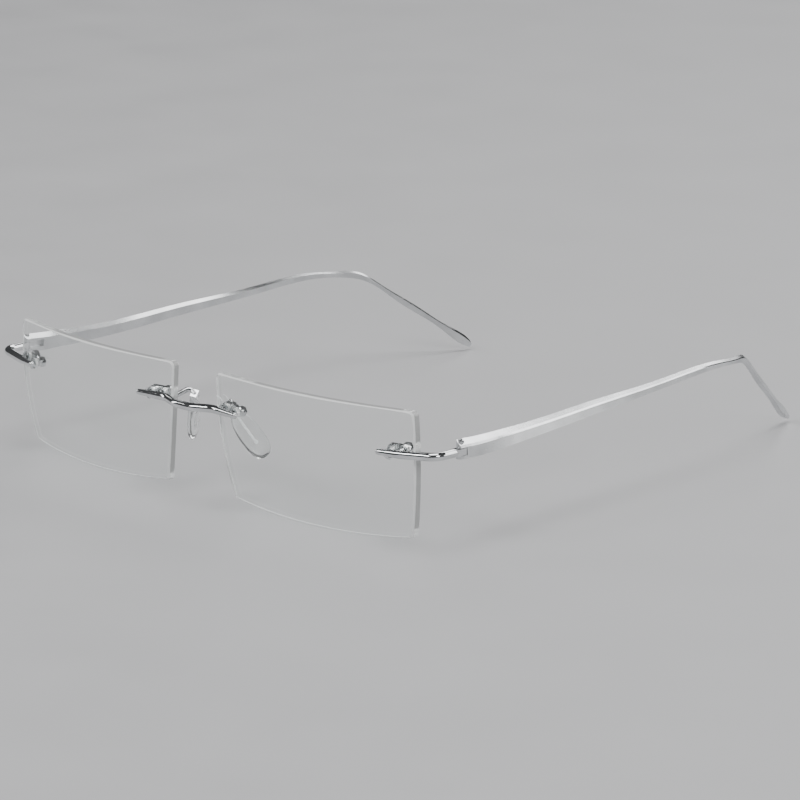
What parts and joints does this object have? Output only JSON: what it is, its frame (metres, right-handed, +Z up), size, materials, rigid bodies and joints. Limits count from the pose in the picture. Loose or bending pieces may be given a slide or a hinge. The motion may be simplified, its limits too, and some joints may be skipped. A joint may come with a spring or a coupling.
{
  "type": "eyeglasses",
  "caption": "Rimless eyeglasses with rectangular bevelled clear lenses, a bowed metal bridge, soft clear nose pads and folding satin metal temples with curved ear tips",
  "frame": {"origin": "Centre of the bounding box in plan, on the table under the lenses and the temple tips", "axes": "+X across the width to the right as seen from in front, +Y from the lenses back along the temples, +Z up"},
  "size_m": [0.1384, 0.1456, 0.0294],
  "materials": {
    "clear_lens": "optically clear, polished bevelled rim",
    "polished_metal": "mirror polished silver",
    "satin_metal": "satin silver with polished bevels",
    "pin_steel": "turned steel",
    "core_metal": "bright strip inside the soft pad",
    "clear_plastic": "clear moulded sleeve",
    "silicone": "clear soft silicone"
  },
  "bodies": {
    "front": {"bridge": "polished_metal", "left_lens": "clear_lens", "left_endpiece": "polished_metal", "left_bridge_bushings": "clear_plastic", "left_endpiece_bushings": "clear_plastic", "left_bridge_nuts": "polished_metal", "left_endpiece_nuts": "polished_metal", "left_endpiece_plate": "polished_metal", "left_pad_arm": "polished_metal", "left_pad_pin": "pin_steel", "right_lens": "clear_lens", "right_endpiece": "polished_metal", "right_bridge_bushings": "clear_plastic", "right_endpiece_bushings": "clear_plastic", "right_bridge_nuts": "polished_metal", "right_endpiece_nuts": "polished_metal", "right_endpiece_plate": "polished_metal", "right_pad_arm": "polished_metal", "right_pad_pin": "pin_steel"},
    "left_temple": {"left_temple": "satin_metal", "left_hinge_screw": "pin_steel"},
    "left_pad": {"left_nose_pad": "silicone", "left_pad_core": "core_metal"},
    "right_temple": {"right_temple": "satin_metal", "right_hinge_screw": "pin_steel"},
    "right_pad": {"right_nose_pad": "silicone", "right_pad_core": "core_metal"}
  },
  "joints": [
    {"name": "left_temple_fold", "type": "hinge", "parent": "front", "child": "left_temple", "pos_m": [-0.068, -0.05611, 0.0211], "axis": [0, 0, -1], "range_deg": [0, 82]},
    {"name": "left_pad_rock", "type": "hinge", "parent": "front", "child": "left_pad", "pos_m": [-0.00647, -0.06242, 0.02012], "axis": [-0.3242, 0.7847, 0.5284], "range_deg": [-8, 8]},
    {"name": "right_temple_fold", "type": "hinge", "parent": "front", "child": "right_temple", "pos_m": [0.068, -0.05611, 0.0211], "axis": [0, 0, 1], "range_deg": [0, 74]},
    {"name": "right_pad_rock", "type": "hinge", "parent": "front", "child": "right_pad", "pos_m": [0.00647, -0.06242, 0.02012], "axis": [-0.3242, -0.7847, -0.5284], "range_deg": [-8, 8]}
  ]
}
